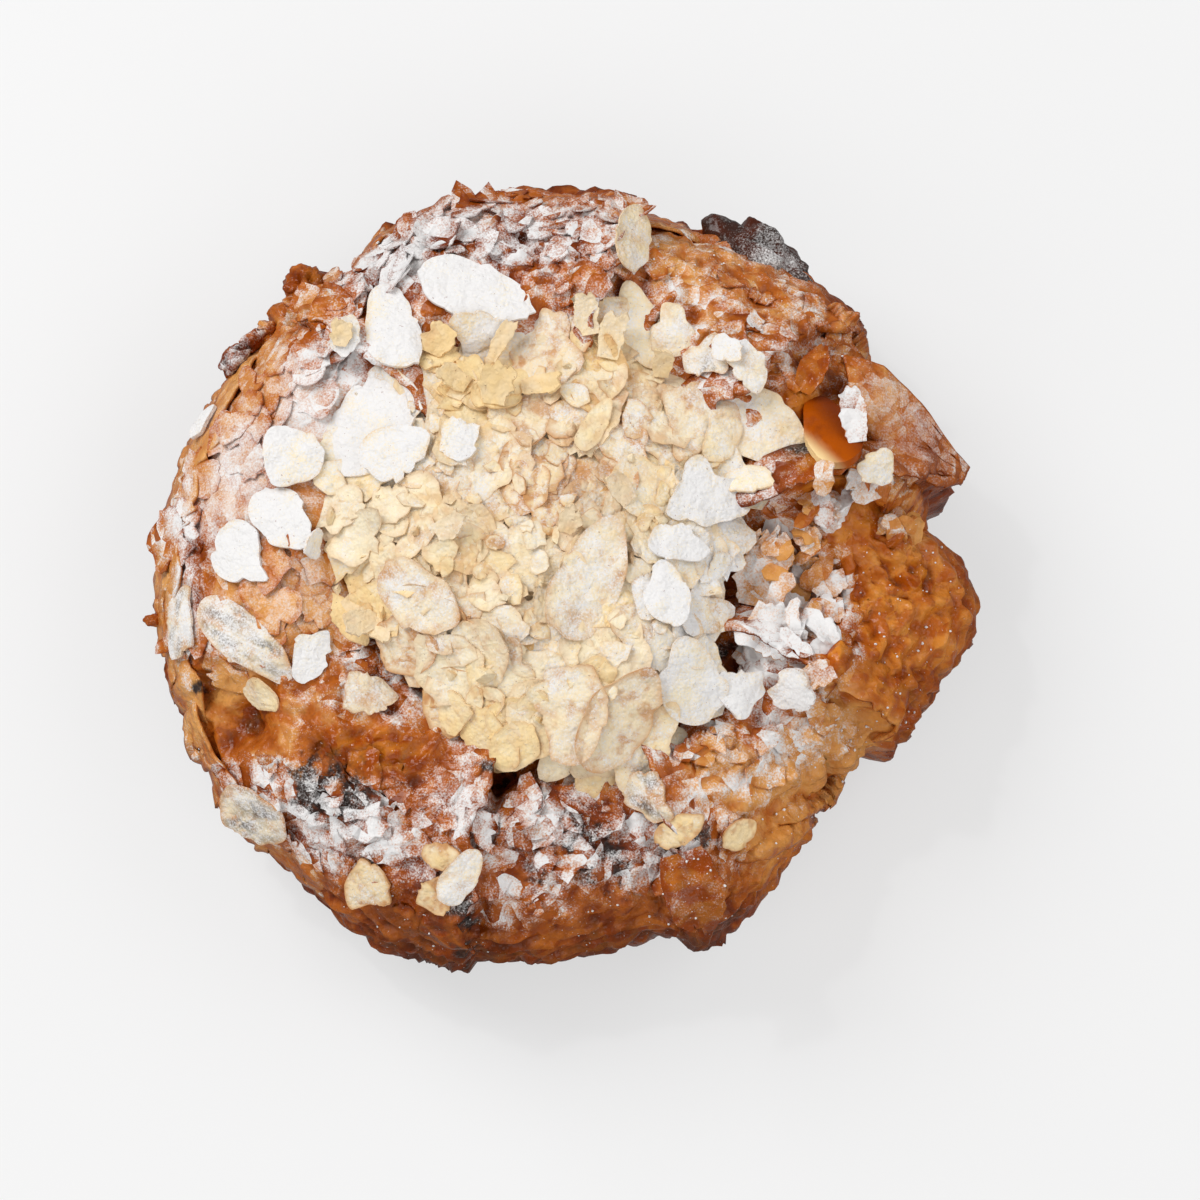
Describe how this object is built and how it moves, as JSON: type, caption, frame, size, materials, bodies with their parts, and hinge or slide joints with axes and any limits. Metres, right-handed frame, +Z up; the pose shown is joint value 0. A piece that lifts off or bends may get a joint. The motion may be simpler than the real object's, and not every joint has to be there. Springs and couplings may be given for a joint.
{
  "type": "almond croissant",
  "caption": "Round almond croissant: a flaky pastry roll curled into a ring with its horns meeting, its middle filled with almond cream under a heap of flaked almonds.",
  "frame": {"origin": "on the surface it rests on, under the middle of its outline", "axes": "+Z up, +X to the right of the picture, +Y away from the front, where the horns meet"},
  "size_m": [0.1452, 0.1384, 0.0479],
  "materials": {
    "crust": "baked laminated crust, golden to dark brown, dusted with icing sugar",
    "almond": "pale almond cream and flaked almonds, dusted with icing sugar"
  },
  "bodies": {
    "root": {"croissant": "crust", "almond_topping": "almond"}
  },
  "joints": []
}
